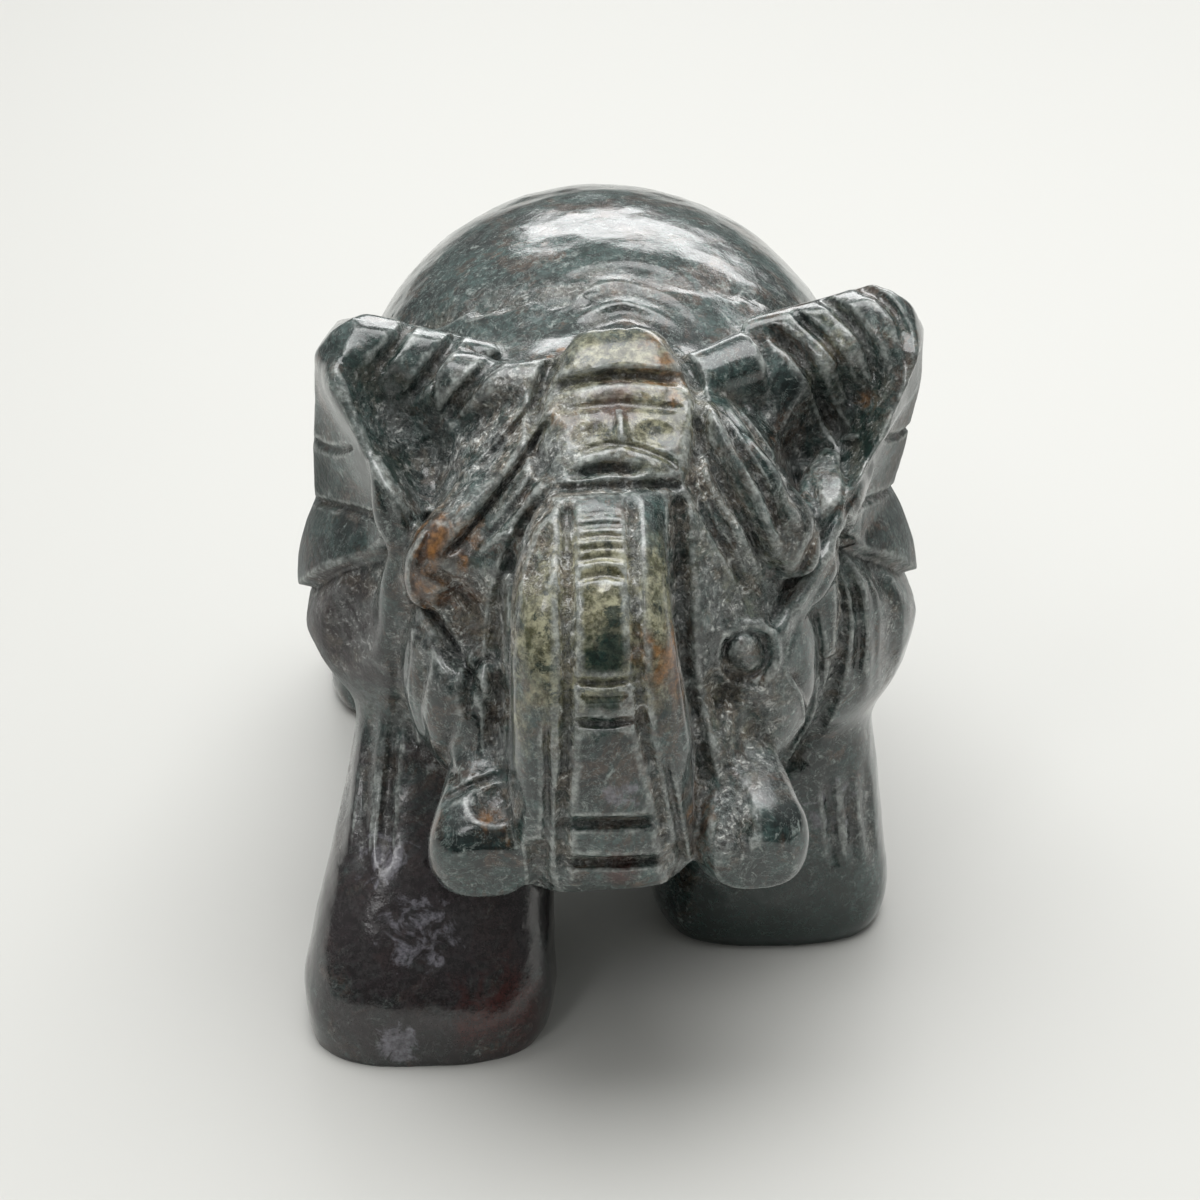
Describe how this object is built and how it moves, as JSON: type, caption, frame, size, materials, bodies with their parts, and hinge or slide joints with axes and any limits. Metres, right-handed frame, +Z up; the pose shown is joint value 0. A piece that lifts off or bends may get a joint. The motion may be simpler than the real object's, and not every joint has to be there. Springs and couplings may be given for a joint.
{
  "type": "carved stone elephant",
  "caption": "Small walking elephant carved from one piece of mottled dark chalcedony, trunk raised to the forehead, standing on its four feet",
  "frame": {"origin": "On the surface it stands on, at the middle of the carving's box", "axes": "The face looks along -Y, the carving's left side is at +X, and +Z is up"},
  "size_m": [0.0318, 0.0496, 0.035],
  "materials": {
    "stone": "polished"
  },
  "bodies": {
    "root": {"elephant": "stone"}
  },
  "joints": []
}
